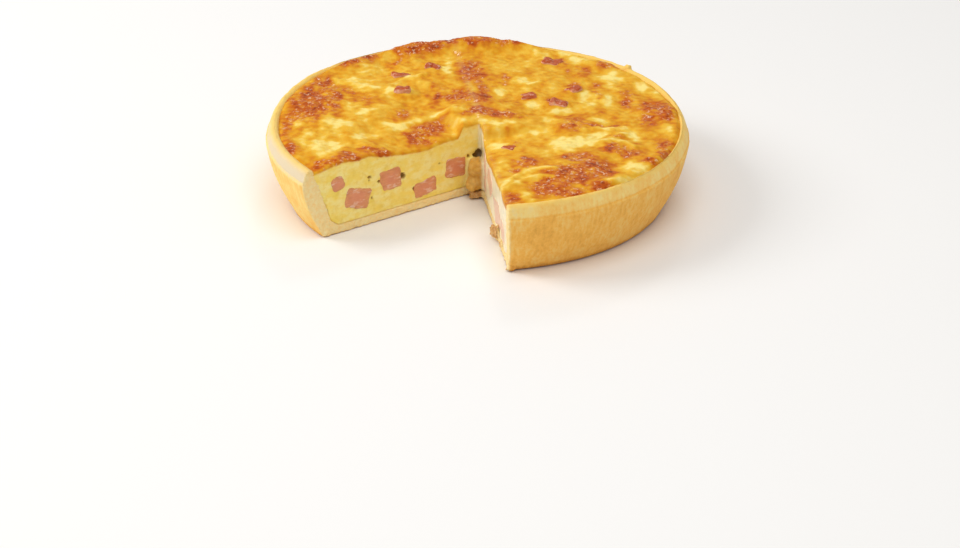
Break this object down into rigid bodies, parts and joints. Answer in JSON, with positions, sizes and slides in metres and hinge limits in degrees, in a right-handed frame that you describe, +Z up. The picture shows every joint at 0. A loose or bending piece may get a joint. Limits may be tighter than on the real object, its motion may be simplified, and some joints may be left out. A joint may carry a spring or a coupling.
{
  "type": "quiche lorraine",
  "caption": "Round individual quiche lorraine in a straight-sided shortcrust case, with browned egg and ham filling and one slice cut out.",
  "frame": {"origin": "middle of the round pastry case, on the flat base that it rests on", "axes": "+Z up; +X to the right and +Y away from the viewer when the missing slice is at the front left"},
  "size_m": [0.1495, 0.1486, 0.0295],
  "materials": {
    "pastry": "matt baked shortcrust pastry, pale gold",
    "egg": "set egg custard, glossy and browned on top",
    "ham": "moist cooked ham"
  },
  "bodies": {
    "root": {"pastry_case": "pastry", "egg_filling": "egg", "ham_right_tip_high": "ham", "ham_right_tip_low": "ham", "ham_right_middle": "ham", "ham_right_large": "ham", "ham_right_crust": "ham", "ham_left_tip": "ham", "ham_left_low": "ham", "ham_left_middle": "ham", "ham_left_outer": "ham", "ham_left_crust": "ham", "ham_top_strip": "ham", "ham_top_nub": "ham", "ham_top_far": "ham", "ham_top_pink": "ham", "ham_top_shoulder": "ham", "ham_top_red": "ham", "ham_top_back": "ham", "ham_top_front": "ham"}
  },
  "joints": []
}
